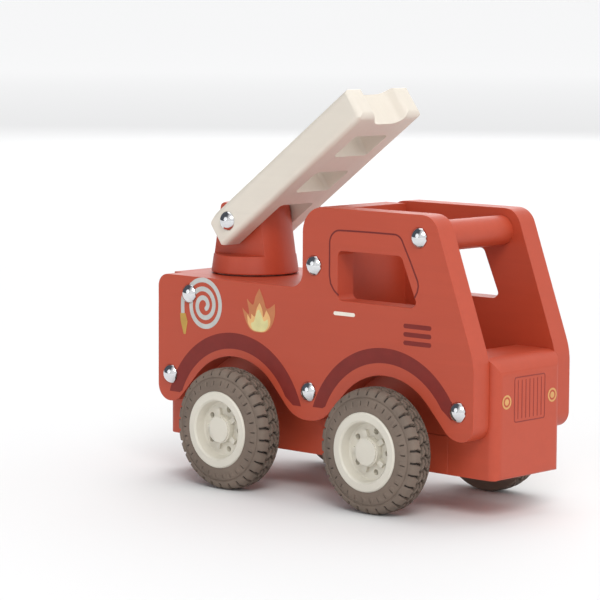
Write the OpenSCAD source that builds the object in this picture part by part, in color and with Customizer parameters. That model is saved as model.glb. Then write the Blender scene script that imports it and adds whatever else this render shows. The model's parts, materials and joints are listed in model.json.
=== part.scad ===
// Wooden toy fire engine: bolted side plates on solid blocks, rolling wheels,
// a swivelling turret and a ladder that tilts on it.
// +X is the front, +Z is up, and the wheels stand on Z = 0.

/* [Body] */
// Length of the base board
base_len = 188.6; // [170:0.2:205]
// Height of the base board's underside above the floor
base_z = 17.2; // [14:0.1:20]
// Thickness of the base board
base_t = 16; // [14:0.5:17]
// Distance between the outer faces of the side plates
body_w = 64.2; // [60:0.2:70]
// Thickness of each side plate
plate_t = 10.2; // [8:0.1:11]
// Length of the side plates
plate_len = 181; // [176:1:190]
// Height of the rear bed above the floor
bed_z = 90.2; // [84:0.1:96]
// Height of the cab roof above the floor
roof_z = 125.1; // [118:0.1:132]
// Thickness of the wall behind the cab
wall_t = 11.6; // [8:0.1:14]
// Length of the nose block under the windshield
hood_len = 25.3; // [18:0.1:30]
// Height of the hood above the floor
hood_z = 67.5; // [60:0.1:74]
// Height of the cab's floor above the floor the wheels stand on
cab_floor_z = 58; // [57:0.5:64]

/* [Wheels] */
// Distance between the axles
wheelbase = 84.5; // [80:0.1:90]
// Outer radius of the tyres
tyre_r = 26.5; // [22:0.1:27]
// Width of a wheel over its hub
wheel_w = 13.3; // [10:0.1:14]
// Radius of the visible hub
hub_r = 16.7; // [13:0.1:19]
// Radius of the steel axles
axle_r = 2.5; // [1.5:0.1:3]

/* [Ladder and turret] */
// Angle of the ladder above the horizontal at rest
ladder_tilt = 36.5; // [21:0.5:89]
// Length of the ladder block
ladder_len = 101.7; // [80:0.1:110]
// Width of the ladder block
ladder_w = 41; // [38:0.5:43]
// Depth of the ladder block
ladder_t = 15.2; // [10:0.1:16]
// Width of the openings between the ladder's rails
rung_gap = 21.5; // [16:0.5:23]
// Radius of the turret at the bed
turret_r = 19.6; // [17:0.1:21]
// Height of the turret above the bed
turret_h = 30.8; // [28:0.1:34]

/* [Hidden] */
$fn = 64;

red = [0.745, 0.345, 0.259];
cream = [0.886, 0.859, 0.816];
rubber = [0.49, 0.443, 0.408];
steel = [0.8, 0.8, 0.82];
nylon = [0.9, 0.9, 0.88];
wood = [0.85, 0.72, 0.52];

// Running clearance of a pin in its bore
run_gap = 0.05;
eps = 0.01;

// Body
base_top = base_z + base_t;
plate_y = body_w / 2 - plate_t;
base_w = 2 * plate_y;
nose_x = base_len / 2;
front_x = plate_len / 2;
rear_x = -plate_len / 2;
cab_x = -3.6;
lobe_z = base_top + 0.3;
hood_x = nose_x - hood_len;
block_corner_r = 4.5;
hood_round_r = 8;

// Wheel arches, symmetric about the middle of the body
arch_x = 43.4;
arch_r = 31.3;
arch_z = 25.6;
arch_slope = 47;
arch_apex_z = arch_z + arch_r / cos(arch_slope);
arch_foot = (arch_apex_z - lobe_z) / tan(arch_slope);

// Windshield edge of the side plates: X falls by 0.37 for each unit of height
rake = 0.37;
rake_x0 = front_x + 24.56;
roof_front_x = rake_x0 - rake * roof_z;
rake_low_z = (rake_x0 - front_x) / rake;

// Fasteners
bolt_r = 2;
dome_r = 4.4;
dome_h = 2.6;
nut_depth = 1.5;
bar_r = 6.4;
bar_pos = [60.9, 115.6];
bolt_pos = [[-71.1, 82.4], [-82.8, 45.6], [0.2, 45.9], [2.9, 100.1], bar_pos, [82.3, 45.7]];
dowel_r = 3;
dowel_len = 20;
dowel_pos = [[-76, 8], [-76, -8], [-20, 8], [-20, -8]];

// Wheels
axle_z = tyre_r;
axle_mid = 1.65;
front_axle_x = axle_mid + wheelbase / 2;
rear_axle_x = axle_mid - wheelbase / 2;
wheel_y = 33.2;
bush_r = 4;
bush_len = 10;
bush_flange_r = 5.6;
bush_flange_t = 1.5;
spacer_r = 4.5;
drum_r = hub_r - 1;
cap_r = 5.6;

// Turret and ladder
turret_x = -61.5;
ring_t = 0.6;
turret_z = bed_z + ring_t + run_gap;
turret_taper = 0.142;
ledge_h = 8;
tongue_half = rung_gap / 2 - 0.6;
washer_t = 0.5;
pivot = [-59.2, 114.6];
pivot_r = 2.5;
tail = 9.8;
turret_bolt_r = 3;
turret_bolt_head_r = 6.5;
bolt_pocket_r = 8;
bolt_pocket_z = 65;
turret_bolt_top = 106;
rung_starts = [33.4, 61];
rung_len = 15.6;
slot_end = 23.4;
notch_depth = 6.3;

// Points of the arc that rounds vertex b between neighbours a and c.
// Each vertex is [x, y, radius].
function unit(v) = v / norm(v);
function rounded_vertex(a, b, c) =
    let (p = [b[0], b[1]],
         u = unit([a[0], a[1]] - p),
         v = unit([c[0], c[1]] - p),
         half = acos(u * v) / 2,
         r = b[2],
         centre = p + unit(u + v) * r / sin(half),
         first = p + u * r / tan(half) - centre,
         last = p + v * r / tan(half) - centre,
         start = atan2(first[1], first[0]),
         turn = atan2(first[0] * last[1] - first[1] * last[0], first * last),
         steps = max(2, ceil(abs(turn) * sqrt(r) / 26)))
    r < eps ? [p] : [for (i = [0 : steps])
        centre + r * [cos(start + turn * i / steps), sin(start + turn * i / steps)]];
function rounded_outline(pts) =
    let (n = len(pts))
    [for (i = [0 : n - 1])
        for (p = rounded_vertex(pts[(i + n - 1) % n], pts[i], pts[(i + 1) % n])) p];

// Puts an outline drawn in X and Z into the X-Z plane, from y0 to y1
module along_y(y0, y1) {
    translate([0, y1, 0]) rotate([90, 0, 0]) linear_extrude(y1 - y0) children();
}

// Cylinder along Y at [x, z], from y0 to y1
module rod_y(pos, r, y0, y1) {
    translate([pos[0], y0, pos[1]]) rotate([-90, 0, 0]) cylinder(r = r, h = y1 - y0);
}

// Low dome standing on y = 0 and pointing along +Y
module dome() {
    ball_r = (dome_r * dome_r + dome_h * dome_h) / (2 * dome_h);
    intersection() {
        translate([0, dome_h - ball_r, 0]) sphere(r = ball_r);
        rotate([-90, 0, 0]) cylinder(r = 2 * dome_r, h = 2 * dome_h);
    }
}

// Bolt bores through a body part
module bolt_bores() {
    for (p = bolt_pos) rod_y(p, bolt_r, -body_w, body_w);
}

// Bores for the glue dowels
module dowel_bores() {
    for (p = dowel_pos)
        translate([p[0], p[1], base_top - dowel_len / 2]) cylinder(r = dowel_r, h = dowel_len);
}

// Board under the whole body, with bores for the axles
module base_board() {
    color(red) difference() {
        translate([0, 0, base_z]) linear_extrude(base_t) polygon(rounded_outline([
            [-nose_x, -plate_y, block_corner_r], [hood_x, -plate_y, 0],
            [hood_x, plate_y, 0], [-nose_x, plate_y, block_corner_r]]));
        for (x = [front_axle_x, rear_axle_x]) {
            rod_y([x, axle_z], bush_r - 0.8, -base_w, base_w);
            for (side = [-1, 1])
                rod_y([x, axle_z], bush_r, side > 0 ? base_w / 2 - bush_len : -base_w,
                      side > 0 ? base_w : -base_w / 2 + bush_len);
        }
        dowel_bores();
    }
}

// Nose block in front of the cab, as deep as the base board
module hood_block() {
    profile = rounded_outline([[hood_x, base_z, 0], [nose_x, base_z, 1.5],
                               [nose_x, hood_z, hood_round_r], [hood_x, hood_z, 1]]);
    corners = rounded_outline([[hood_x, -plate_y, 0], [nose_x, -plate_y, block_corner_r],
                               [nose_x, plate_y, block_corner_r], [hood_x, plate_y, 0]]);
    color(red) difference() {
        intersection() {
            along_y(-plate_y, plate_y) polygon(profile);
            linear_extrude(hood_z + 1) polygon(corners);
        }
        bolt_bores();
    }
}

module bed_block() {
    color(red) difference() {
        translate([rear_x, -plate_y, base_top])
            cube([cab_x - rear_x, 2 * plate_y, bed_z - base_top]);
        bolt_bores();
        dowel_bores();
        translate([turret_x, 0, 0]) {
            cylinder(r = turret_bolt_r + run_gap, h = 2 * bed_z);
            cylinder(r = bolt_pocket_r, h = bolt_pocket_z);
        }
    }
}

module cab_rear_wall() {
    color(red) difference() {
        translate([cab_x, -plate_y, base_top])
            cube([wall_t, 2 * plate_y, roof_z - 1 - base_top]);
        bolt_bores();
    }
}

module cab_floor_block() {
    color(red) translate([cab_x + wall_t, -plate_y, base_top])
        cube([hood_x - cab_x - wall_t, 2 * plate_y, cab_floor_z - base_top]);
}

// Outline of a side plate in X and Z, clockwise from the rear corner of the bed
function plate_outline() = rounded_outline([
    [rear_x, bed_z, 5.5],
    [cab_x, bed_z, 6.5],
    [cab_x, roof_z, 11],
    [roof_front_x, roof_z, 9],
    [front_x, rake_low_z, 28],
    [front_x, lobe_z, 6.8],
    [arch_x + arch_foot, lobe_z, 11],
    [arch_x, arch_apex_z, arch_r],
    [arch_x - arch_foot, lobe_z, 16],
    [-arch_x + arch_foot, lobe_z, 16],
    [-arch_x, arch_apex_z, arch_r],
    [-arch_x - arch_foot, lobe_z, 9],
    [rear_x, lobe_z, 7.4]]);

// Window opening of a side plate in X and Z
function window_outline() = rounded_outline([
    [16.4, 86.4, 2.5], [16.4, 107.4, 2.5], [51.4, 107.4, 2.5], [59.8, 88.4, 1.6], [57.6, 86.4, 2.5]]);

module side_plate(y0) {
    difference() {
        along_y(y0, y0 + plate_t) difference() {
            polygon(plate_outline());
            polygon(window_outline());
        }
        bolt_bores();
    }
}

module side_plate_right() {
    color(red) side_plate(-body_w / 2);
}

module side_plate_left() {
    color(red) side_plate(plate_y);
}

module grab_bar() {
    color(red) difference() {
        rod_y(bar_pos, bar_r, -plate_y, plate_y);
        bolt_bores();
    }
}

module body_bolts() {
    color(steel) for (p = bolt_pos) {
        rod_y(p, bolt_r, -body_w / 2, body_w / 2 + nut_depth);
        translate([p[0], -body_w / 2 + eps, p[1]]) mirror([0, 1, 0]) dome();
    }
}

module body_cap_nuts() {
    color(steel) for (p = bolt_pos) difference() {
        translate([p[0], body_w / 2, p[1]]) dome();
        rod_y(p, bolt_r, 0, body_w / 2 + nut_depth);
    }
}

module glue_dowels() {
    color(wood) dowel_bores();
}

// Two flanged nylon bushes that carry an axle at x
module axle_bushes(x) {
    for (side = [-1, 1]) {
        inner = base_w / 2 - bush_len;
        outer = base_w / 2 + bush_flange_t;
        difference() {
            union() {
                rod_y([x, axle_z], bush_r, side > 0 ? inner : -outer, side > 0 ? outer : -inner);
                rod_y([x, axle_z], bush_flange_r, side > 0 ? base_w / 2 : -outer,
                      side > 0 ? outer : -base_w / 2);
            }
            rod_y([x, axle_z], axle_r + run_gap, -body_w, body_w);
        }
    }
}

module axle(x) {
    reach = wheel_y + wheel_w - 3.6;
    rod_y([x, axle_z], axle_r, -reach, reach);
}

// Two sleeves that keep the wheels off the side plates
module axle_spacers(x) {
    inner = base_w / 2 + bush_flange_t + 0.1;
    for (side = [-1, 1]) difference() {
        rod_y([x, axle_z], spacer_r, side > 0 ? inner : -wheel_y, side > 0 ? wheel_y : -inner);
        rod_y([x, axle_z], axle_r, -body_w, body_w);
    }
}

// Places a wheel piece drawn with its outer side up the +Z axis
module at_wheel(x, side) {
    translate([x, side * wheel_y, axle_z]) rotate([-side * 90, 0, 0]) children();
}

// Moulded hub: drum, rolled rim, recess with ribs, and a boss on the axle
module hub() {
    recess_r = 11.8;
    recess_z = wheel_w - 5.2;
    boss_r = 6.1;
    boss_z = wheel_w - 2.1;
    rim_top = wheel_w;
    rim_in = hub_r - 3.4;
    difference() {
        union() {
            rotate_extrude() polygon([
                [axle_r, 0], [spacer_r, 0], [spacer_r, 1], [drum_r, 1], [drum_r, wheel_w - 1.8],
                [hub_r, wheel_w - 1.8], [hub_r, rim_top - 0.6], [hub_r - 0.6, rim_top],
                [rim_in, rim_top], [rim_in - 0.7, rim_top - 0.7], [recess_r, recess_z + 0.6],
                [recess_r - 0.6, recess_z], [boss_r, recess_z], [boss_r, boss_z],
                [cap_r, boss_z], [cap_r, boss_z - 1], [axle_r, boss_z - 1]]);
            for (i = [0 : 4]) rotate(36 + 72 * i)
                translate([boss_r - 0.5, -1.1, recess_z - 1]) cube([3.4, 2.2, 2.4]);
        }
        for (i = [0 : 4]) rotate(72 * i)
            translate([9, 0, recess_z - 2.5]) cylinder(r = 1.3, h = 5);
    }
}

// Plain tyre body with rounded shoulders
module tyre() {
    bead_r = drum_r;
    side_z = wheel_w - 0.4;
    rotate_extrude() polygon(rounded_outline([
        [bead_r, 0.8, 0.3], [tyre_r, 0, 3], [tyre_r, side_z, 3], [hub_r + 0.05, side_z, 0.4],
        [hub_r + 0.05, wheel_w - 1.8, 0], [bead_r, wheel_w - 1.8, 0]]));
}

// Push-in disc that covers the end of the axle
module hub_cap() {
    cap_z = wheel_w - 1.4;
    translate([0, 0, wheel_w - 3.1]) cylinder(r = cap_r, h = cap_z - (wheel_w - 3.1));
}

module turret_ring() {
    color(nylon) translate([turret_x, 0, bed_z]) difference() {
        cylinder(r = turret_r - 2, h = ring_t);
        translate([0, 0, -1]) cylinder(r = turret_bolt_r + 1, h = ring_t + 2);
    }
}

// Cone with two flats that leave a tongue for the ladder
module turret() {
    color(red) difference() {
        translate([turret_x, 0, turret_z]) difference() {
            rotate_extrude($fn = 96) polygon(rounded_outline([
                [0, 0, 0], [turret_r, 0, 0.5], [turret_r - turret_taper * turret_h, turret_h, 2],
                [0, turret_h, 0]]));
            for (side = [-1, 1])
                translate([-2 * turret_r, side > 0 ? tongue_half : -tongue_half - turret_r,
                           ledge_h])
                    cube([4 * turret_r, turret_r, turret_h]);
        }
        rod_y(pivot, pivot_r + run_gap, -body_w, body_w);
        translate([turret_x, 0, 0]) cylinder(r = turret_bolt_r, h = turret_bolt_top);
    }
}

module turret_bolt() {
    color(steel) translate([turret_x, 0, 0]) {
        translate([0, 0, bolt_pocket_z - 5]) cylinder(r = turret_bolt_head_r, h = 4);
        translate([0, 0, bolt_pocket_z - 1.1])
            cylinder(r = turret_bolt_r, h = turret_bolt_top - bolt_pocket_z + 1.1);
    }
}

module turret_washer() {
    color(steel) translate([turret_x, 0, bolt_pocket_z - 1]) difference() {
        cylinder(r = bolt_pocket_r - 0.8, h = 0.9);
        translate([0, 0, -1]) cylinder(r = turret_bolt_r, h = 3);
    }
}

// Moves a piece drawn about the ladder's pivot, along +X, to its place
module at_pivot() {
    translate([pivot[0], 0, pivot[1]]) rotate([0, -ladder_tilt, 0]) children();
}

// Plan of the ladder: two rails, the turret slot at the tail, a scooped end rung
function ladder_plan() =
    let (tip = ladder_len - tail, w = ladder_w / 2, g = rung_gap / 2)
    rounded_outline([
        [-tail, w, 1.2], [-tail, g, 1.2], [slot_end, g, 2], [slot_end, -g, 2], [-tail, -g, 1.2],
        [-tail, -w, 1.2], [tip, -w, 4], [tip, -g - 0.5, 3.4], [tip - notch_depth, -g + 3.5, 6],
        [tip - notch_depth, g - 3.5, 6], [tip, g + 0.5, 3.4], [tip, w, 4]]);

module ladder() {
    h = ladder_t / 2;
    w = ladder_w / 2;
    tip = ladder_len - tail;
    side = rounded_outline([[-tail, -h, 2.6], [tip, -h, 4], [tip, h, 2.6], [-tail + 7, h, 8],
                            [-tail, h - 3, 3]]);
    section = rounded_outline([[-w, -h, 3], [w, -h, 3], [w, h, 3], [-w, h, 3]]);
    color(cream) at_pivot() difference() {
        intersection() {
            translate([-tail - 1, 0, 0]) rotate([90, 0, 90])
                linear_extrude(ladder_len + 2) polygon(section);
            translate([0, 0, -h]) linear_extrude(ladder_t) polygon(ladder_plan());
            along_y(-ladder_w, ladder_w) polygon(side);
        }
        for (s = rung_starts) translate([0, 0, -ladder_t]) linear_extrude(2 * ladder_t)
            polygon(rounded_outline([[s, -rung_gap / 2, 2], [s + rung_len, -rung_gap / 2, 2],
                                     [s + rung_len, rung_gap / 2, 2], [s, rung_gap / 2, 2]]));
        rod_y([0, 0], pivot_r, -body_w, body_w);
    }
}

module ladder_bolt() {
    color(steel) at_pivot() {
        rod_y([0, 0], pivot_r, -ladder_w / 2, ladder_w / 2 + nut_depth);
        translate([0, -ladder_w / 2 + eps, 0]) mirror([0, 1, 0]) dome();
    }
}

module ladder_cap_nut() {
    color(steel) at_pivot() difference() {
        translate([0, ladder_w / 2, 0]) dome();
        rod_y([0, 0], pivot_r, 0, ladder_w / 2 + nut_depth);
    }
}

module ladder_washers() {
    color(nylon) at_pivot() for (side = [-1, 1]) {
        y = rung_gap / 2;
        difference() {
            rod_y([0, 0], 5.5, side > 0 ? y - washer_t : -y, side > 0 ? y : -y + washer_t);
            rod_y([0, 0], pivot_r, -body_w, body_w);
        }
    }
}

base_board();
hood_block();
bed_block();
cab_rear_wall();
cab_floor_block();
side_plate_right();
side_plate_left();
grab_bar();
body_bolts();
body_cap_nuts();
glue_dowels();
color(nylon) axle_bushes(front_axle_x);  // front_axle_bushes
color(nylon) axle_bushes(rear_axle_x);  // rear_axle_bushes
color(steel) axle(front_axle_x);  // front_axle
color(steel) axle(rear_axle_x);  // rear_axle
color(nylon) axle_spacers(front_axle_x);  // front_axle_spacers
color(nylon) axle_spacers(rear_axle_x);  // rear_axle_spacers
color(cream) at_wheel(front_axle_x, -1) hub();  // hub_front_right
color(cream) at_wheel(front_axle_x, 1) hub();  // hub_front_left
color(cream) at_wheel(rear_axle_x, -1) hub();  // hub_rear_right
color(cream) at_wheel(rear_axle_x, 1) hub();  // hub_rear_left
color(rubber) at_wheel(front_axle_x, -1) tyre();  // tyre_front_right
color(rubber) at_wheel(front_axle_x, 1) tyre();  // tyre_front_left
color(rubber) at_wheel(rear_axle_x, -1) tyre();  // tyre_rear_right
color(rubber) at_wheel(rear_axle_x, 1) tyre();  // tyre_rear_left
color(cream) at_wheel(front_axle_x, -1) hub_cap();  // hub_cap_front_right
color(cream) at_wheel(front_axle_x, 1) hub_cap();  // hub_cap_front_left
color(cream) at_wheel(rear_axle_x, -1) hub_cap();  // hub_cap_rear_right
color(cream) at_wheel(rear_axle_x, 1) hub_cap();  // hub_cap_rear_left
turret_ring();
turret();
turret_bolt();
turret_washer();
ladder();
ladder_bolt();
ladder_cap_nut();
ladder_washers();
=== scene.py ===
"""Looks of the wooden toy fire engine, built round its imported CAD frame."""
import json
import math

import bmesh
import bpy
from mathutils import Matrix, Quaternion, Vector


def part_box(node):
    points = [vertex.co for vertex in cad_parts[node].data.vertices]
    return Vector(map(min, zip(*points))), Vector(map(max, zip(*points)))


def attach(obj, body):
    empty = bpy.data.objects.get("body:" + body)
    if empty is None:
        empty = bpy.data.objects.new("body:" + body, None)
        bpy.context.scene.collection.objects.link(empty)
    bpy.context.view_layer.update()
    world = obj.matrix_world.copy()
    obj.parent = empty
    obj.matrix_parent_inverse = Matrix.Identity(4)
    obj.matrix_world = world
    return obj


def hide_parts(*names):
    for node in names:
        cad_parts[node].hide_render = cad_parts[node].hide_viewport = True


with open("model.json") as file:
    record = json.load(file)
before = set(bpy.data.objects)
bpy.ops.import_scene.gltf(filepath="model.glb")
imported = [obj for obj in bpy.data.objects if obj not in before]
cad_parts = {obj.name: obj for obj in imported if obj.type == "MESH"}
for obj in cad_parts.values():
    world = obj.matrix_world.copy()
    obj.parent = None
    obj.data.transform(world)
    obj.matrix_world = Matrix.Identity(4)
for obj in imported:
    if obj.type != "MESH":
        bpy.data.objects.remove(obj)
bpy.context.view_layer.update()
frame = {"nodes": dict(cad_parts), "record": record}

MM = 0.001

# ---------------------------------------------------------------- frame facts
# Lengths are millimetres and MM turns them into Blender's metres. The camera, the
# lamps, the floor and the materials are in metres.
PLATE_Y = -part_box("side_plate_right")[0].y / MM
NOSE_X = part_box("hood_block")[1].x / MM
hub_lo, hub_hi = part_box("hub_front_right")
WHEEL_IN = -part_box("tyre_front_right")[1].y / MM
WHEEL_OUT = -hub_lo.y / MM
HUB_R = (hub_hi.z - hub_lo.z) / 2 / MM
TYRE_R = (hub_hi.z + hub_lo.z) / 2 / MM
# Centres of the printed arches over the wheels: ARCH_X before and behind the middle.
ARCH_X, ARCH_Z = 43.4, 25.6


# ---------------------------------------------------------------- camera, light, floor
def make_camera():
    """The camera stands low at the truck's front right corner, with a long lens."""
    azimuth, elevation, roll = math.radians(42.44), math.radians(6.37), math.radians(0.32)
    target, distance = Vector((-0.0342, 0, 0.0800)), 1.2334
    back = Vector((math.sin(azimuth) * math.cos(elevation),
                   -math.cos(azimuth) * math.cos(elevation), math.sin(elevation)))
    data = bpy.data.cameras.new("camera")
    data.lens, data.sensor_width = 167.66, 36
    cam = bpy.data.objects.new("camera", data)
    cam.location = target + back * distance
    cam.rotation_mode = "QUATERNION"
    cam.rotation_quaternion = back.to_track_quat("Z", "Y") @ Quaternion((0, 0, 1), roll)
    bpy.context.scene.collection.objects.link(cam)
    bpy.context.scene.camera = cam


def area_light(name, place, aim, size, power):
    """A round white lamp; size is its diameter in metres and power is in watts."""
    data = bpy.data.lights.new(name, "AREA")
    data.shape, data.size, data.energy = "DISK", size, power
    lamp = bpy.data.objects.new(name, data)
    lamp.location = place
    lamp.rotation_mode = "QUATERNION"
    lamp.rotation_quaternion = (Vector(place) - Vector(aim)).to_track_quat("Z", "Y")
    bpy.context.scene.collection.objects.link(lamp)


def map_range(nodes, source, target, smooth=False):
    """A Map Range node from the source interval to the target interval."""
    node = nodes.new("ShaderNodeMapRange")
    if smooth:
        node.interpolation_type = "SMOOTHSTEP"
    node.inputs["From Min"].default_value, node.inputs["From Max"].default_value = source
    node.inputs["To Min"].default_value, node.inputs["To Max"].default_value = target
    return node


def make_world():
    """Pale surroundings, darker on the left at eye height, for the gloss to mirror."""
    world = bpy.data.worlds.new("studio")
    bpy.context.scene.world = world
    world.use_nodes = True
    nodes, links = world.node_tree.nodes, world.node_tree.links
    coords = nodes.new("ShaderNodeTexCoord")
    dark_side = Vector((-0.80, -0.45, 0.40)).normalized()
    pale, dark = (1, 1, 1, 1), (0.10, 0.11, 0.13, 1)
    dot = nodes.new("ShaderNodeVectorMath")
    dot.operation = "DOT_PRODUCT"
    dot.inputs[1].default_value = dark_side
    fade = map_range(nodes, (0.35, 0.75), (0, 1), smooth=True)
    tint = nodes.new("ShaderNodeMix")
    tint.data_type = "RGBA"
    tint.inputs[6].default_value = pale
    tint.inputs[7].default_value = dark
    links.new(coords.outputs["Generated"], dot.inputs[0])
    links.new(dot.outputs["Value"], fade.inputs["Value"])
    links.new(fade.outputs["Result"], tint.inputs["Factor"])
    links.new(tint.outputs[2], nodes["Background"].inputs["Color"])
    nodes["Background"].inputs["Strength"].default_value = 0.92


def make_floor():
    """A pale floor with painted light: its colour and a faint glow grow lighter with distance,
    where the lamps no longer reach.
    """
    mesh = bpy.data.meshes.new("floor")
    half = 40.0
    mesh.from_pydata([(-half, -half, 0), (half, -half, 0), (half, half, 0), (-half, half, 0)],
                     [], [(0, 1, 2, 3)])
    floor = bpy.data.objects.new("floor", mesh)
    bpy.context.scene.collection.objects.link(floor)
    paint = bpy.data.materials.new("floor")
    paint.use_nodes = True
    nodes, links = paint.node_tree.nodes, paint.node_tree.links
    shader = nodes["Principled BSDF"]
    shader.inputs["Roughness"].default_value = 1.0
    shader.inputs["Specular IOR Level"].default_value = 0.0
    shader.inputs["Emission Color"].default_value = (1, 1, 1, 1)
    coords = nodes.new("ShaderNodeTexCoord")
    reach = nodes.new("ShaderNodeVectorMath")
    reach.operation = "LENGTH"
    tone = map_range(nodes, (0.6, 4.5), (0.84, 1.0), smooth=True)
    glow = map_range(nodes, (1.0, 6.0), (0, 0.28))
    links.new(coords.outputs["Object"], reach.inputs[0])
    links.new(reach.outputs["Value"], tone.inputs["Value"])
    links.new(reach.outputs["Value"], glow.inputs["Value"])
    links.new(tone.outputs["Result"], shader.inputs["Base Color"])
    links.new(glow.outputs["Result"], shader.inputs["Emission Strength"])
    mesh.materials.append(paint)


def make_studio():
    """Four soft lamps, the pale surroundings and the floor."""
    aim = (0, 0, 0.07)
    area_light("key", (1.70, -1.50, 2.00), aim, 1.3, 31)
    area_light("fill", (-0.9, -2.5, 0.90), aim, 1.8, 9)
    area_light("top", (-0.5, 0.5, 2.4), aim, 2.0, 19)
    area_light("back", (-1.5, 2.0, 1.3), aim, 1.7, 12)
    make_world()
    make_floor()
    bpy.context.scene.view_settings.view_transform = "Standard"


# ---------------------------------------------------------------- materials
def linear(r, g, b):
    """Linear colour of 0-255 screen values."""
    def one(c):
        c /= 255
        return c / 12.92 if c <= 0.04045 else ((c + 0.055) / 1.055) ** 2.4
    return (one(r), one(g), one(b), 1)


class Shader:
    """A node material built step by step round one Principled shader."""

    def __init__(self, name, roughness, metallic=0.0, coat=0.0, specular=0.5):
        self.material = bpy.data.materials.new(name)
        self.material.use_nodes = True
        self.nodes = self.material.node_tree.nodes
        self.links = self.material.node_tree.links
        self.bsdf = self.nodes["Principled BSDF"]
        self.bsdf.inputs["Roughness"].default_value = roughness
        self.bsdf.inputs["Metallic"].default_value = metallic
        self.bsdf.inputs["Coat Weight"].default_value = coat
        self.bsdf.inputs["Coat Roughness"].default_value = 0.2
        self.bsdf.inputs["Specular IOR Level"].default_value = specular
        self.coords = self.nodes.new("ShaderNodeTexCoord")
        self.height = None

    def mapped(self, scale):
        """Object coordinates, scaled differently along each axis."""
        node = self.nodes.new("ShaderNodeMapping")
        node.inputs["Scale"].default_value = scale
        self.links.new(self.coords.outputs["Object"], node.inputs["Vector"])
        return node.outputs["Vector"]

    def noise(self, scale, detail=3.0, stretch=(1, 1, 1), distortion=0.0):
        node = self.nodes.new("ShaderNodeTexNoise")
        node.inputs["Scale"].default_value = scale
        node.inputs["Detail"].default_value = detail
        node.inputs["Distortion"].default_value = distortion
        self.links.new(self.mapped(stretch), node.inputs["Vector"])
        return node.outputs["Fac"]

    def ramp(self, source, stops):
        """Colour of a value; stops are (place, colour), lowest place first."""
        node = self.nodes.new("ShaderNodeValToRGB")
        elements = node.color_ramp.elements
        while len(elements) < len(stops):
            elements.new(0.5)
        for element, (place, colour) in zip(elements, stops):
            element.position, element.color = place, colour
        self.links.new(source, node.inputs["Fac"])
        return node.outputs["Color"]

    def colour(self, socket):
        """Drives the base colour from the socket."""
        self.links.new(socket, self.bsdf.inputs["Base Color"])

    def mix(self, factor, a, b):
        """From a to b by the factor; each is a colour or a socket."""
        node = self.nodes.new("ShaderNodeMix")
        node.data_type = "RGBA"
        self.links.new(factor, node.inputs["Factor"])
        for socket, value in ((node.inputs[6], a), (node.inputs[7], b)):
            if isinstance(value, tuple):
                socket.default_value = value
            else:
                self.links.new(value, socket)
        return node.outputs[2]

    def roughness_from(self, source, low, high):
        node = map_range(self.nodes, (0, 1), (low, high))
        self.links.new(source, node.inputs["Value"])
        self.links.new(node.outputs["Result"], self.bsdf.inputs["Roughness"])

    def bump(self, source, strength, distance):
        """Adds a layer of relief; distance is its height in metres."""
        node = self.nodes.new("ShaderNodeBump")
        node.inputs["Strength"].default_value = strength
        node.inputs["Distance"].default_value = distance
        self.links.new(source, node.inputs["Height"])
        if self.height is not None:
            self.links.new(self.height, node.inputs["Normal"])
        self.height = node.outputs["Normal"]
        self.links.new(self.height, self.bsdf.inputs["Normal"])


def shade(colour, factor):
    """The colour, made darker or lighter by the factor."""
    return tuple(c * factor for c in colour[:3]) + (1,)


def painted_wood(name, colour, roughness=0.48):
    """Sprayed satin paint: orange peel, faint grain that shows through, soft scuffs."""
    s = Shader(name, roughness, coat=0.05)
    clouds = s.noise(9, 2.0)
    grain = s.noise(60, 4.0, stretch=(0.25, 4, 4), distortion=0.6)
    tone = s.ramp(clouds, [(0.3, shade(colour, 0.95)), (0.7, shade(colour, 1.05))])
    s.colour(s.mix(s.ramp(grain, [(0.42, (0, 0, 0, 1)), (0.62, (0.35, 0.35, 0.35, 1))]),
                   tone, shade(colour, 0.92)))
    s.roughness_from(s.noise(45, 3.0), roughness - 0.06, roughness + 0.08)
    s.bump(grain, 0.25, 0.00006)
    s.bump(s.noise(1500, 2.0), 0.35, 0.00003)
    return s.material


def moulded_plastic(name, colour, roughness=0.42):
    s = Shader(name, roughness, specular=0.45)
    s.colour(s.ramp(s.noise(40, 3.0), [(0.35, shade(colour, 0.95)), (0.65, shade(colour, 1.03))]))
    s.roughness_from(s.noise(120, 2.0), roughness - 0.05, roughness + 0.07)
    s.bump(s.noise(2200, 2.0), 0.3, 0.00002)
    return s.material


def rubber(name, colour):
    """Soft grey-brown rubber with dust in its pores."""
    s = Shader(name, 0.72, specular=0.3)
    dust = s.noise(70, 5.0)
    s.colour(s.ramp(dust, [(0.3, shade(colour, 0.86)), (0.7, shade(colour, 1.12))]))
    s.roughness_from(dust, 0.62, 0.82)
    s.bump(s.noise(1800, 3.0), 0.5, 0.00005)
    return s.material


def polished_steel(name, roughness=0.1):
    """Chrome with fine swirl marks."""
    s = Shader(name, roughness, metallic=1.0)
    marks = s.noise(900, 2.0, stretch=(1, 1, 6))
    s.colour(s.ramp(marks, [(0.3, (0.66, 0.67, 0.69, 1)), (0.7, (0.78, 0.78, 0.79, 1))]))
    s.roughness_from(marks, roughness - 0.03, roughness + 0.05)
    s.bump(marks, 0.03, 0.000004)
    return s.material


def brushed_steel(name):
    s = Shader(name, 0.32, metallic=1.0)
    lines = s.noise(700, 3.0, stretch=(1, 0.05, 1))
    s.colour(s.ramp(lines, [(0.3, (0.42, 0.42, 0.44, 1)), (0.7, (0.62, 0.62, 0.63, 1))]))
    s.roughness_from(lines, 0.25, 0.42)
    s.bump(lines, 0.15, 0.00002)
    return s.material


def bare_wood(name):
    s = Shader(name, 0.6, specular=0.3)
    rings = s.noise(90, 4.0, stretch=(0.3, 3, 3), distortion=1.5)
    s.colour(s.ramp(rings, [(0.35, linear(196, 150, 100)), (0.65, linear(226, 190, 142))]))
    s.bump(rings, 0.3, 0.0001)
    return s.material


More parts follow.
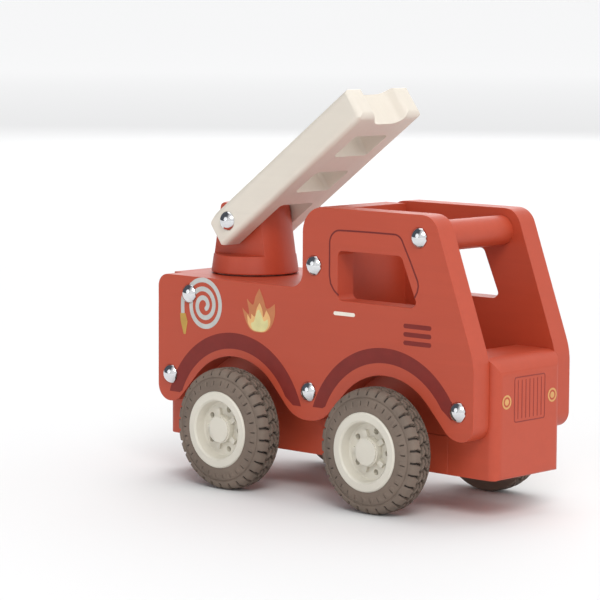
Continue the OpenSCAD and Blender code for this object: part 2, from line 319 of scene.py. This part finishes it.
def print_ink(name, colour, roughness=0.5):
    """Pad-printed ink, slightly uneven in density."""
    s = Shader(name, roughness, specular=0.4)
    s.colour(s.ramp(s.noise(260, 4.0), [(0.3, shade(colour, 0.93)), (0.7, shade(colour, 1.06))]))
    s.roughness_from(s.noise(90, 2.0), roughness - 0.05, roughness + 0.08)
    s.bump(s.noise(1500, 2.0), 0.3, 0.00002)
    return s.material


RED = linear(183, 70, 43)
CREAM = linear(226, 218, 205)
M = {
    "red_paint": painted_wood("red_paint", RED),
    "cream_paint": painted_wood("cream_paint", CREAM, 0.5),
    "hub_plastic": moulded_plastic("hub_plastic", linear(214, 209, 196)),
    "nylon": moulded_plastic("nylon", linear(226, 224, 216), 0.5),
    "tyre_rubber": rubber("tyre_rubber", linear(120, 106, 95)),
    # The second rubber below is the tyre rubber painted much darker: painted shade on the faces at
    # the bottom of the tread grooves and cuts.
    "tyre_groove_shade": rubber("tyre_groove_shade", linear(50, 43, 39)),
    "steel": polished_steel("steel"),
    "axle_steel": brushed_steel("axle_steel"),
    "bare_wood": bare_wood("bare_wood"),
    "stripe": print_ink("stripe", linear(122, 31, 22)),
    "line": print_ink("line", linear(112, 30, 26)),
    "grey_ink": print_ink("grey_ink", linear(192, 193, 189)),
    "white_ink": print_ink("white_ink", linear(236, 228, 214)),
    "gold_ink": print_ink("gold_ink", linear(186, 148, 70)),
    "lamp_ink": print_ink("lamp_ink", linear(208, 158, 98)),
    "grille_ink": print_ink("grille_ink", linear(138, 48, 38)),
    "flame_out": print_ink("flame_out", linear(190, 118, 76)),
    "flame_mid": print_ink("flame_mid", linear(226, 178, 118)),
    "flame_in": print_ink("flame_in", linear(216, 206, 148)),
}


# ---------------------------------------------------------------- CAD nodes
SHARP_DEG = 32
# Bevel width of the CAD nodes whose names start so. The small parts stay as they are.
BEVELS = {"side_plate": 1.1, "base_board": 0.7, "hood_block": 0.7, "bed_block": 0.7,
          "cab_rear_wall": 0.8, "cab_floor_block": 0.6, "grab_bar": 0.3, "turret": 0.8,
          "ladder": 1.0, "hub_": 0.35}
NO_BEVEL = ("ladder_", "turret_", "hub_cap")


def dress_cad_nodes():
    """Gives each CAD node its material and softens its hard edges with a bevel."""
    slots = {s["node"]: s["material_slot"] for s in frame["record"]["subparts"]}
    for name, obj in frame["nodes"].items():
        mesh = obj.data
        mesh.materials.clear()
        mesh.materials.append(M[slots[name]])
        width = 0
        for start, value in BEVELS.items():
            if name.startswith(start) and not name.startswith(NO_BEVEL):
                width = value
        weld = obj.modifiers.new("weld", "WELD")
        weld.merge_threshold = 1e-6
        if width:
            flat = obj.modifiers.new("flat", "DECIMATE")
            flat.decimate_type, flat.angle_limit = "DISSOLVE", math.radians(0.4)
            bevel = obj.modifiers.new("edges", "BEVEL")
            bevel.width, bevel.segments = width * MM, 3
            bevel.limit_method, bevel.angle_limit = "ANGLE", math.radians(SHARP_DEG)
            bevel.miter_outer = "MITER_ARC"
        for face in mesh.polygons:
            face.use_smooth = True
        smooth = obj.modifiers.new("smooth", "WEIGHTED_NORMAL")
        smooth.keep_sharp = True
        mesh.set_sharp_from_angle(angle=math.radians(SHARP_DEG))


# ---------------------------------------------------------------- mesh helpers
def new_piece(name, mesh, body, materials):
    obj = bpy.data.objects.new(name, mesh)
    bpy.context.scene.collection.objects.link(obj)
    for material in materials:
        mesh.materials.append(material)
    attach(obj, body)
    return obj


def on_right(a, b, h):
    """Place on the right side plate at X a and Z b, h out of its face."""
    return Vector((a, -PLATE_Y - h, b)) * MM


def on_left(a, b, h):
    """The same on the left side plate."""
    return Vector((a, PLATE_Y + h, b)) * MM


def on_nose(a, b, h):
    """Place on the nose at Y a and Z b, h out of its face."""
    return Vector((NOSE_X + h, a, b)) * MM


# Printed ink stands INK_TOP out of its face and its sides start just inside the face.
INK_TOP, INK_FOOT = 0.07, -0.05


def print_piece(name, loops_list, place, material, lift=0.0):
    """A printed shape: each item of loops_list is an outline and its holes. lift is how
    much higher the ink stands, where it is printed over other ink."""
    bm = bmesh.new()
    for loops in loops_list:
        part = bmesh.new()
        for loop in loops:
            verts = [part.verts.new(place(a, b, INK_TOP + lift)) for a, b in loop]
            for i, v in enumerate(verts):
                part.edges.new((v, verts[(i + 1) % len(verts)]))
        bmesh.ops.triangle_fill(part, edges=part.edges[:], use_beauty=True)
        top = part.faces[:]
        grown = bmesh.ops.extrude_face_region(part, geom=top)
        down = place(0, 0, INK_FOOT) - place(0, 0, INK_TOP + lift)
        bmesh.ops.translate(part, verts=[g for g in grown["geom"]
                                         if isinstance(g, bmesh.types.BMVert)], vec=down)
        bmesh.ops.recalc_face_normals(part, faces=part.faces[:])
        scratch = bpy.data.meshes.new("scratch")
        part.to_mesh(scratch)
        part.free()
        bm.from_mesh(scratch)
        bpy.data.meshes.remove(scratch)
    mesh = bpy.data.meshes.new(name)
    bm.to_mesh(mesh)
    bm.free()
    return new_piece(name, mesh, "body", [material])


def arc(cx, cy, r, a0, a1, steps):
    """Points round a centre from angle a0 to a1, in degrees."""
    return [(cx + r * math.cos(math.radians(a0 + (a1 - a0) * i / steps)),
             cy + r * math.sin(math.radians(a0 + (a1 - a0) * i / steps)))
            for i in range(steps + 1)]


def rounded(points, steps=6):
    """Outline whose vertices (x, y, radius) are rounded by arcs."""
    out = []
    n = len(points)
    for i in range(n):
        a, b, c = (Vector(points[(i + k) % n][:2]) for k in (-1, 0, 1))
        r = points[i][2]
        if r < 1e-6:
            out.append(tuple(b))
            continue
        u, v = (a - b).normalized(), (c - b).normalized()
        half = math.acos(max(-1, min(1, u.dot(v)))) / 2
        centre = b + (u + v).normalized() * r / math.sin(half)
        first, last = b + u * r / math.tan(half) - centre, b + v * r / math.tan(half) - centre
        start = math.atan2(first.y, first.x)
        turn = math.atan2(first.x * last.y - first.y * last.x, first.dot(last))
        out += [tuple(centre + Vector((math.cos(start + turn * k / steps),
                                       math.sin(start + turn * k / steps))) * r)
                for k in range(steps + 1)]
    return out


def spline(points, per):
    """Catmull-Rom curve through the points, in per steps from each to the next."""
    pts = [Vector(p) for p in points]
    n = len(pts)
    out = []
    for i in range(n - 1):
        p = [pts[max(0, min(n - 1, i + k))] for k in (-1, 0, 1, 2)]
        for k in range(per):
            t = k / per
            out.append(tuple(0.5 * (2 * p[1] + (p[2] - p[0]) * t
                                    + (2 * p[0] - 5 * p[1] + 4 * p[2] - p[3]) * t * t
                                    + (3 * p[1] - p[0] - 3 * p[2] + p[3]) * t ** 3)))
    out.append(tuple(pts[-1]))
    return out


def stroke(points, width, caps=5):
    """Outline of a line of even width with round ends."""
    pts = [Vector(p) for p in points]
    w = width / 2
    left, right = [], []
    for i, p in enumerate(pts):
        d = (pts[min(i + 1, len(pts) - 1)] - pts[max(i - 1, 0)]).normalized()
        n = Vector((-d.y, d.x))
        left.append(tuple(p + n * w))
        right.append(tuple(p - n * w))

    def cap(p, first):
        start = math.degrees(math.atan2(first[1] - p.y, first[0] - p.x))
        return arc(p.x, p.y, w, start, start - 180, caps * 2)[1:-1]
    return left + cap(pts[-1], left[-1]) + right[::-1] + cap(pts[0], right[0])


# ---------------------------------------------------------------- prints
def stripe_outline(cx, r_in, r_out, rear_z, rear_corners, front_z, front_corners):
    """Band round a wheel arch. rear_z and front_z are the heights at which its outer and
    its inner arc end, and the corners are the points between the two arcs' ends."""
    def angle(r, z):
        return math.degrees(math.asin((z - ARCH_Z) / r))
    outer = arc(cx, ARCH_Z, r_out, 180 - angle(r_out, rear_z[0]), angle(r_out, front_z[0]), 48)
    inner = arc(cx, ARCH_Z, r_in, angle(r_in, front_z[1]), 180 - angle(r_in, rear_z[1]), 44)
    return outer + front_corners + inner + rear_corners


def print_stripes(side, place):
    foot_rear, foot_mid = 37.9, 39.2
    rear = stripe_outline(-ARCH_X, 34.7, 41.7,
                          (foot_rear, foot_rear + 1), [(-ARCH_X - 33.6, foot_rear)],
                          (foot_mid, foot_mid + 3.4), [(-8.6, foot_mid)])
    front = stripe_outline(ARCH_X, 36.6, 42.9,
                           (foot_mid + 0.5, foot_mid + 1.4), [(8.4, foot_mid + 0.5)],
                           (49.8, 46.0), [(79.2, 49.8), (79.2, 42.0)])
    print_piece("stripes_" + side, [[rear], [front]], place, M["stripe"])


def print_door(side, place):
    """Door line round the window, door handle and three vents."""
    line = [(16.9, 88.7), (14.6, 90.4), (12.6, 93.2), (11.9, 96.5)]
    line += arc(17.6, 110.3, 5.7, 180, 90, 8)
    line += [(32, 116.2)]
    line += arc(47.6, 111.2, 5.0, 90, 20, 8)
    line += [(56.4, 105.5), (60.4, 97.6), (60.8, 95.6), (60.2, 93.2), (58.9, 90.9)]
    print_piece("door_line_" + side, [[stroke(line, 0.7)]], place, M["line"])
    handle = stroke([(15.2, 80.9), (25.6, 80.9)], 1.6)
    print_piece("door_handle_" + side, [[handle]], place, M["white_ink"])
    vents = [[stroke([(54.0, z), (67.0, z)], 1.9)] for z in (78.8, 75.3, 71.8)]
    print_piece("vents_" + side, vents, place, M["stripe"])


def print_hose(side, place):
    """Coiled hose with its free end over the bolt and a nozzle hanging down."""
    cx, cz, turns, pitch, start_r, start = -62.0, 77.9, 2.55, 3.95, 1.9, -40
    squeeze = 0.96
    steps = 110
    coil = []
    for i in range(steps + 1):
        t = i / steps
        a = math.radians(start + 360 * turns * t)
        r = start_r + pitch * turns * t
        coil.append((cx + r * squeeze * math.cos(a), cz + r * math.sin(a)))
    tail = [(-71.5, 85.6), (-73.6, 83.6), (-74.9, 80.4), (-75.2, 76.8), (-75.1, 73.0)]
    print_piece("hose_" + side, [[stroke(coil + spline(tail, 4), 2.1)]], place,
                M["grey_ink"])
    nozzle = rounded([(-76.7, 73.4, 0.3), (-73.5, 73.6, 0.3), (-72.2, 70.0, 0.5),
                      (-73.4, 64.2, 0.5), (-74.5, 64.2, 0.5), (-76.4, 70.0, 0.5)], 4)
    print_piece("nozzle_" + side, [[nozzle]], place, M["gold_ink"], 0.03)


def print_flame(side, place):
    """Flame in three tones, one over the other, with sharp tips."""
    cx, z0 = -28.8, 69.0
    outer = [(0, -0.2), (-4.6, 0.6), (-7.6, 4.0), (-9.9, 9.8), (-5.9, 7.4), (-7.2, 14.0),
             (-3.6, 11.6), (-2.0, 15.4), (0.2, 18.9), (2.6, 14.6), (4.2, 10.8), (6.4, 11.0),
             (9.3, 12.9), (9.4, 8.0), (7.4, 3.2), (4.2, 0.5)]
    sharp = {3, 5, 8, 12}
    mid = [(0, 0.1), (-3.9, 0.7), (-6.4, 3.4), (-6.8, 7.2), (-4.8, 5.2), (-4.4, 7.6),
           (-2.4, 6.6), (-1.2, 10.2), (0.4, 12.7), (2.0, 9.8), (2.6, 6.6), (4.4, 9.8), (6.6, 6.6),
           (6.4, 3.2), (3.8, 0.6)]
    inner = [(0, 0.3), (-3.4, 0.9), (-4.6, 3.4), (-2.8, 4.6), (-1.2, 8.8), (0.2, 9.9), (1.6, 7.6),
             (3.0, 5.0), (5.2, 6.0), (5.4, 3.2), (3.4, 0.9)]

    def pointed(points, tips):
        """Smooth closed curve that keeps its tips sharp."""
        out = []
        n = len(points)
        start = min(tips)
        order = [points[(start + i) % n] for i in range(n)]
        marks = sorted((t - start) % n for t in tips) + [n]
        order.append(order[0])
        for a, b in zip(marks, marks[1:]):
            out += spline(order[a:b + 1], 5)[:-1]
        return [(cx + x, z0 + z) for x, z in out]
    print_piece("flame_" + side, [[pointed(outer, sharp)]], place, M["flame_out"])
    print_piece("flame_mid_" + side, [[pointed(mid, {3, 5, 8, 11})]], place, M["flame_mid"],
                0.03)
    print_piece("flame_core_" + side, [[pointed(inner, {5, 8})]], place, M["flame_in"],
                0.06)


def print_nose():
    """Grille of thin lines and two round lamps."""
    half_w, low, high = 10.3, 40.3, 59.2
    line = 0.45
    lamp_y, lamp_z = 15.2, 49.4
    outer = rounded([(-half_w, low, 1.3), (half_w, low, 1.3), (half_w, high, 1.3),
                     (-half_w, high, 1.3)])
    inner = rounded([(-half_w + line, low + line, 0.9), (half_w - line, low + line, 0.9),
                     (half_w - line, high - line, 0.9), (-half_w + line, high - line, 0.9)])
    bars = [[outer, inner]]
    count = 7
    for i in range(count):
        y = -half_w + 2 * half_w * (i + 1) / (count + 1)
        bars.append([stroke([(y, low + 1.6), (y, high - 1.6)], 0.4)])
    print_piece("grille", bars, on_nose, M["grille_ink"])
    for side, y in (("right", -lamp_y), ("left", lamp_y)):
        ring = [arc(y, lamp_z, r, 0, 342, 19) for r in (2.95, 2.15)]
        dot = [arc(y, lamp_z, 1.35, 0, 340, 17)]
        print_piece("lamp_" + side, [ring, dot], on_nose, M["lamp_ink"])


# ---------------------------------------------------------------- tyres
PITCHES, STEPS_PER_PITCH = 30, 14
GAP = 0.24                                # part of a pitch that a cross groove takes
TREAD_DEPTH, SHOULDER_DEPTH = 1.4, 0.75
TREAD_LO, TREAD_HI = 0.9, 8.6             # distance outwards, as in the profile
RIDGE_R, RIDGE_Z = 22.9, 11.0             # the ridge where shoulder and side wall meet
INNER_POINTS, TREAD_STEPS, SHOULDER_STEPS, WALL_STEPS = 5, 34, 9, 14


def tyre_profile():
    """Cross-section points (radius, distance outwards, zone) from the inner bead round
    the tread and the outer shoulder to the rim."""
    w = WHEEL_OUT - WHEEL_IN
    pts = [(HUB_R - 1.0, 0.9, "plain"), (HUB_R, 0.35, "plain"), (TYRE_R - 4, 0.15, "plain"),
           (TYRE_R - 1.4, 0.25, "plain"), (TYRE_R - 0.6, 0.5, "plain")]
    for i in range(TREAD_STEPS + 1):
        t = i / TREAD_STEPS
        pts.append((TYRE_R - 0.35 * (2 * t - 1) ** 4,
                    TREAD_LO + (TREAD_HI - TREAD_LO) * t, "tread"))
    top = TYRE_R - 0.45
    for i in range(1, SHOULDER_STEPS + 1):
        a = math.pi / 2 * i / SHOULDER_STEPS
        pts.append((RIDGE_R + (top - RIDGE_R) * math.cos(a) ** 0.8,
                    TREAD_HI + (RIDGE_Z - TREAD_HI) * math.sin(a) ** 1.1, "shoulder"))
    pts += [(RIDGE_R - 0.2, RIDGE_Z - 0.25, "plain"), (RIDGE_R - 0.5, RIDGE_Z - 0.3, "plain"),
            (RIDGE_R - 0.75, RIDGE_Z + 0.05, "plain")]
    r0, z0, r1, z1 = RIDGE_R - 0.9, RIDGE_Z + 0.2, HUB_R + 0.1, w - 0.75
    for i in range(WALL_STEPS + 1):
        t = i / WALL_STEPS
        pts.append((r0 + (r1 - r0) * t, z0 + (z1 - z0) * math.sin(t * math.pi / 2) ** 0.9, "wall"))
    pts.append((HUB_R + 0.02, w - 2.0, "plain"))
    return pts


def groove(u, t):
    """1 where the tread is cut, at u pitches round the tyre and t across the tread, else 0."""
    zig = 0.07 * (abs(((u * 2) % 2) - 1) * 2 - 1)
    lines, half_line = (0.20, 0.47, 0.74), 0.042
    if any(abs(t - c - zig) < half_line for c in lines):
        return 1
    row = sum(t > c + zig for c in lines)
    slant, offset = ((0.9, 0.1), (-0.9, 0.35), (0.9, 0.6), (-0.5, 0.05))[row]
    return int((u + offset + slant * t) % 1.0 < GAP)


def build_tyres():
    """One detailed tyre, placed at each wheel."""
    profile = tyre_profile()
    n = len(profile)
    steps = PITCHES * STEPS_PER_PITCH
    verts, cuts = [], []
    for i in range(steps):
        a = 2 * math.pi * i / steps
        u = i / STEPS_PER_PITCH
        for k, (r, z, zone) in enumerate(profile):
            cut = 0
            if zone == "tread":
                cut = groove(u, (k - INNER_POINTS) / TREAD_STEPS)
                r -= TREAD_DEPTH * cut
            elif zone == "shoulder":
                reach = (k - INNER_POINTS - TREAD_STEPS) / SHOULDER_STEPS
                cut = int((u + 0.55) % 1.0 < GAP and reach < 0.82)
                r -= SHOULDER_DEPTH * cut
                z -= 0.45 * cut * reach
            elif zone == "wall":
                across = (u + 0.2) % 1.0
                band = 1.3 < RIDGE_R - r < 3.6
                cut = int(band and 0.28 < across < 0.46)
                z += 0.25 * (band and 0.46 < across < 0.80) - 0.3 * cut
            cuts.append(cut)
            verts.append((r * math.cos(a), r * math.sin(a), z))
    faces, dark = [], []
    for i in range(steps):
        j = (i + 1) % steps
        for k in range(n):
            m = (k + 1) % n
            corners = (i * n + k, j * n + k, j * n + m, i * n + m)
            faces.append(corners)
            dark.append(all(cuts[c] for c in corners))
    for axle in ("front", "rear"):
        for side, s in (("right", -1), ("left", 1)):
            cad_tyre = "tyre_" + axle + "_" + side
            lo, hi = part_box(cad_tyre)
            place = (Matrix.Translation(Vector(((lo.x + hi.x) / 2, s * WHEEL_IN * MM,
                                                (lo.z + hi.z) / 2)))
                     @ Matrix.Rotation(-s * math.pi / 2, 4, "X") @ Matrix.Scale(MM, 4))
            mesh = bpy.data.meshes.new(cad_tyre)
            mesh.from_pydata([place @ Vector(v) for v in verts], [], faces)
            bm = bmesh.new()
            bm.from_mesh(mesh)
            bmesh.ops.recalc_face_normals(bm, faces=bm.faces[:])
            bm.to_mesh(mesh)
            bm.free()
            obj = new_piece("tyre_tread_" + axle + "_" + side, mesh, axle + "_wheels",
                            [M["tyre_rubber"], M["tyre_groove_shade"]])
            # Faces whose corners are all cut get the darker rubber: painted shade in the tread
            # grooves, shoulder cuts and side-wall marks.
            for face, is_dark in zip(mesh.polygons, dark):
                face.material_index = int(is_dark)
                face.use_smooth = True
            mesh.set_sharp_from_angle(angle=math.radians(38))
            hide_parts(cad_tyre)


# ---------------------------------------------------------------- the scene
make_camera()
make_studio()
dress_cad_nodes()
for side, place in (("right", on_right), ("left", on_left)):
    print_stripes(side, place)
    print_door(side, place)
    print_hose(side, place)
    print_flame(side, place)
print_nose()
build_tyres()
